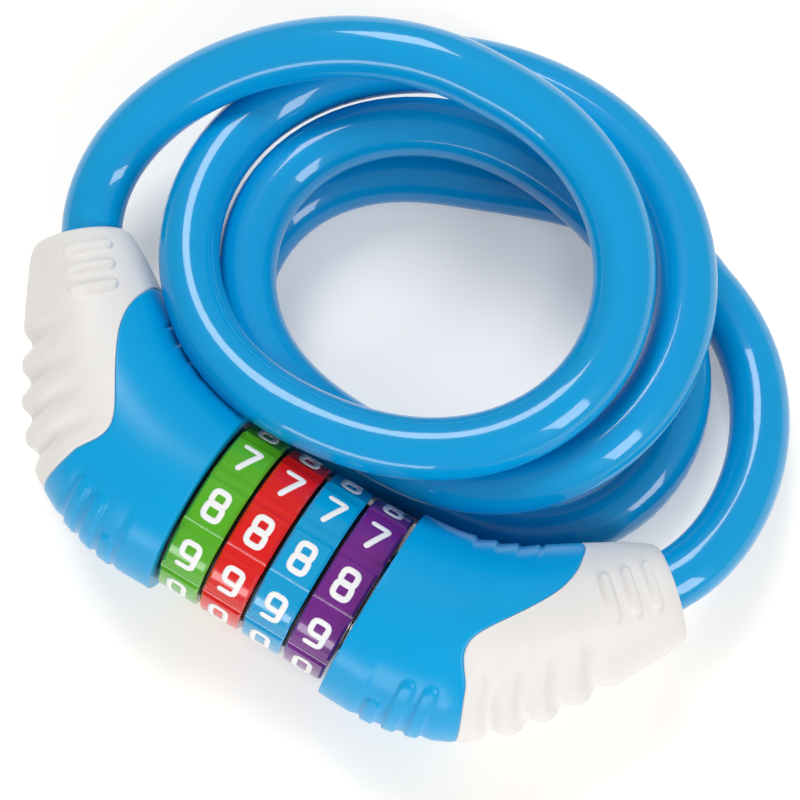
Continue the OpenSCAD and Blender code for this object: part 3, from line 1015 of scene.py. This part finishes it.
# Half the width and half the height of a number, between the middles of its strokes
w, h = 1.6, 2.75
strokes = {
    0: [("loop", [(-w, -h), (w, -h), (w, h), (-w, h)])],
    1: [("line", [(-1.0, 1.7), (0.35, h), (0.35, -h)])],
    2: [("line", [(-w, 1.5), (-w, h), (w, h), (w, 0.5), (-w, -h + 0.1), (-w, -h), (w, -h)])],
    3: [
        ("line", [(-w, h), (w, h), (w, 0), (-0.5, 0)]),
        ("line", [(-0.3, -0.08), (w, -0.08), (w, -h), (-w, -h)]),
    ],
    4: [("line", [(0.8, -h), (0.8, h), (-w - 0.2, -1.2), (w + 0.3, -1.2)])],
    5: [("line", [(w, h), (-w, h), (-w, 0.5), (w, 0.5), (w, -h), (-w, -h)])],
    6: [
        ("loop", [(-w, -h), (w, -h), (w, 0.4), (-w, 0.4)]),
        ("line", [(-w + 0.08, -1.2), (-w + 0.08, h), (w - 0.2, h)]),
    ],
    7: [("line", [(-w, h), (w, h), (w, h - 0.4), (-0.6, -h)])],
    8: [
        ("loop", [(-w + 0.1, 0), (w - 0.1, 0), (w - 0.1, h), (-w + 0.1, h)]),
        ("loop", [(-w, -h), (w, -h), (w, 0.16), (-w, 0.16)]),
    ],
    9: [
        ("loop", [(-w, -0.4), (w, -0.4), (w, h), (-w, h)]),
        ("line", [(w - 0.08, 1.2), (w - 0.08, -h), (-w + 0.2, -h)]),
    ],
}
corner_r, corner_steps = 1.1, 7
stroke_step = 0.5


def rounded(corners, closed):
    """The corners as a path whose turns are rounded."""
    corners = [np.array(c, float) for c in corners]
    path = []
    count = len(corners)
    for i, corner in enumerate(corners):
        if not closed and i in (0, count - 1):
            path.append(corner)
            continue
        before, after = corners[i - 1], corners[(i + 1) % count]
        a = min(corner_r, np.linalg.norm(before - corner) / 2)
        b = min(corner_r, np.linalg.norm(after - corner) / 2)
        start = corner + unit(before - corner) * a
        end = corner + unit(after - corner) * b
        for t in np.linspace(0, 1, corner_steps):
            path.append((1 - t) ** 2 * start + 2 * t * (1 - t) * corner + t * t * end)
    return path


def in_short_steps(path, closed):
    """The path with its straight stretches cut up, so that they bend with the ring."""
    ends = path[1:] + path[:1] if closed else path[1:]
    cut = []
    for start, end in zip(path, ends):
        count = math.ceil(np.linalg.norm(end - start) / stroke_step)
        cut += [start + (end - start) * i / count for i in range(count)]
    return cut if closed else cut + path[-1:]


def pen_paths():
    """Points and edges of all ten numbers on the flat strip, in millimetres."""
    points, edges = [], []
    for number, parts in strokes.items():
        lift = -number * number_pitch * ring_r / MM
        for kind, corners in parts:
            closed = kind == "loop"
            path = in_short_steps(rounded(corners, closed), closed)
            first_point = len(points)
            points += [(p[0], p[1] + lift, 0) for p in path]
            edges += [(i, i + 1) for i in range(first_point, len(points) - 1)]
            if closed:
                edges.append((len(points) - 1, first_point))
    return points, edges


# %% [markdown]
# A printed number has strokes of one width with round ends. A round pen gives both: a circle
# swept along each stroke, and a ball on each of its ends.

# %% The pen
pen_sides, ball_rings = 10, 6


def pen_tree():
    tree, given, result, sockets = new_group(
        "round_pen",
        "GeometryNodeTree",
        {"Geometry": "Geometry", "Pen radius": "Float", "Material": "Material"},
        {"Geometry": "Geometry"},
    )
    radius = given["Pen radius"]
    lines = add_node(tree, "GeometryNodeMeshToCurve", Mesh=given["Geometry"]).outputs["Curve"]
    section = add_node(
        tree, "GeometryNodeCurvePrimitiveCircle", Resolution=pen_sides, Radius=radius
    )
    swept = add_node(
        tree, "GeometryNodeCurveToMesh", Curve=lines, Profile_Curve=section.outputs["Curve"]
    )
    ball = add_node(
        tree, "GeometryNodeMeshUVSphere", Segments=pen_sides, Rings=ball_rings, Radius=radius
    )
    ends = add_node(tree, "GeometryNodeCurveEndpointSelection")
    tips = add_node(
        tree,
        "GeometryNodeInstanceOnPoints",
        Points=lines,
        Instance=ball.outputs["Mesh"],
        Selection=ends.outputs["Selection"],
    )
    both = add_node(tree, "GeometryNodeJoinGeometry")
    tree.links.new(swept.outputs["Mesh"], both.inputs["Geometry"])
    tree.links.new(tips.outputs["Instances"], both.inputs["Geometry"])
    real = add_node(tree, "GeometryNodeRealizeInstances", Geometry=both.outputs[0])
    smooth = add_node(tree, "GeometryNodeSetShadeSmooth", Geometry=real.outputs[0])
    painted_result(tree, smooth.outputs[0], given["Material"], result)
    return tree, sockets


flat_mesh = bpy.data.meshes.new("number_strokes")
pen_points, pen_edges = pen_paths()
flat_mesh.from_pydata(pen_points, pen_edges, [])
flat = new_object("number_strokes", flat_mesh)
tree, sockets = pen_tree()
strip = baked(flat, tree, {sockets["Pen radius"]: pen / 2, sockets["Material"]: number_paint})
strip_co = np.empty(len(strip.vertices) * 3)
strip.vertices.foreach_get("co", strip_co)
strip_co = strip_co.reshape(-1, 3)
print("number strip", len(strip.vertices), "points")

# %% [markdown]
# The strip is wound on each ring and pressed almost flat, so that only a thin skin of paint
# stands proud. Winding turns the strip's length into an angle and its height into a distance
# from the axis, so one strip serves all four rings.

# %% Numbers wound on the rings
# The number on top of a ring, and how far it is turned towards the front
top_number, number_turn = 8, math.radians(1)
paint_height = 0.14


def wound(flat_points, x):
    """Winds the flat strip on the ring whose middle is at x."""
    r = ring_r / MM
    turn = number_turn - top_number * number_pitch - flat_points[:, 1] / r
    out = r + flat_points[:, 2] * paint_height / (pen / 2)
    return np.column_stack(
        [
            x + flat_points[:, 0] * MM,
            axis_y - out * np.sin(turn) * MM,
            axis_z + out * np.cos(turn) * MM,
        ]
    )


for name, x in zip(ring_names, ring_x):
    mesh = strip.copy()
    mesh.name = f"{name}_numbers"
    mesh.vertices.foreach_set("co", wound(strip_co, x).ravel())
    mesh.update()
    numbers = new_object(f"{name}_numbers", mesh)
    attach(numbers, f"{name}_ring")
    print(numbers.name, "round the ring at", round(x / MM, 1), "mm")
bpy.data.meshes.remove(strip)

# %% [markdown]
# ## Floor and light
#
# The floor is plain and white. It glows a little for the camera and in reflections, which makes
# it white, leaves its shadow, and throws no soft light on the lock.

# %% Floor
floor_mesh = bpy.data.meshes.new("floor")
floor_half = 1.5
corners = [(x * floor_half, y * floor_half, 0) for x, y in ((-1, -1), (1, -1), (1, 1), (-1, 1))]
floor_mesh.from_pydata(corners, [], [(0, 1, 2, 3)])
floor = new_object("floor", floor_mesh)
floor_glow = 0.28
floor_paint = bpy.data.materials.new("floor_paint")
floor_paint.use_nodes = True
tree = floor_paint.node_tree
shader = tree.nodes["Principled BSDF"]
shader.inputs["Base Color"].default_value = (0.97, 0.94, 0.89, 1)
shader.inputs["Roughness"].default_value = 0.9
shader.inputs["Specular IOR Level"].default_value = 0.1
shader.inputs["Emission Color"].default_value = (1, 0.97, 0.94, 1)
ray = add_node(tree, "ShaderNodeLightPath").outputs
seen = ray["Is Camera Ray"]
for way in ("Is Glossy Ray", "Is Transmission Ray"):
    seen = maths(tree, "MAXIMUM", seen, ray[way])
put(tree, shader.inputs["Emission Strength"], maths(tree, "MULTIPLY", seen, floor_glow))
floor_mesh.materials.append(floor_paint)
print("floor", 2 * floor_half, "m wide")

# %% [markdown]
# The key lamp stands high behind the coil on the left and throws the shadow towards the front
# right. A long lamp on the right adds a second streak to the cable, a low one in front lights
# the sides that face the viewer, and the pale world fills the rest.

# %% Lamps and world
def soft_lamp(name, place, size, watts, aim):
    lamp_data = bpy.data.lights.new(name, "AREA")
    lamp_data.shape = "RECTANGLE"
    lamp_data.size, lamp_data.size_y = size
    lamp_data.energy = watts
    lamp = new_object(name, lamp_data)
    lamp.location = place
    lamp.rotation_euler = (Vector(place) - Vector(aim)).to_track_quat("Z", "Y").to_euler()
    print("lamp", name, watts, "W")


middle = (0, 0.03, 0.02)
soft_lamp("key", (-0.45, 0.45, 0.8), (0.38, 0.38), 4.6, middle)
soft_lamp("side", (0.75, -0.12, 0.6), (0.2, 0.6), 3.4, middle)
soft_lamp("front", (0.1, -0.8, 0.22), (0.7, 0.16), 2.3, middle)

world_strength = 0.34
world = bpy.data.worlds.new("pale_room")
bpy.context.scene.world = world
world.use_nodes = True
sky = world.node_tree.nodes["Background"]
sky.inputs["Color"].default_value = (1, 1, 1, 1)
sky.inputs["Strength"].default_value = world_strength
print("world strength", world_strength)
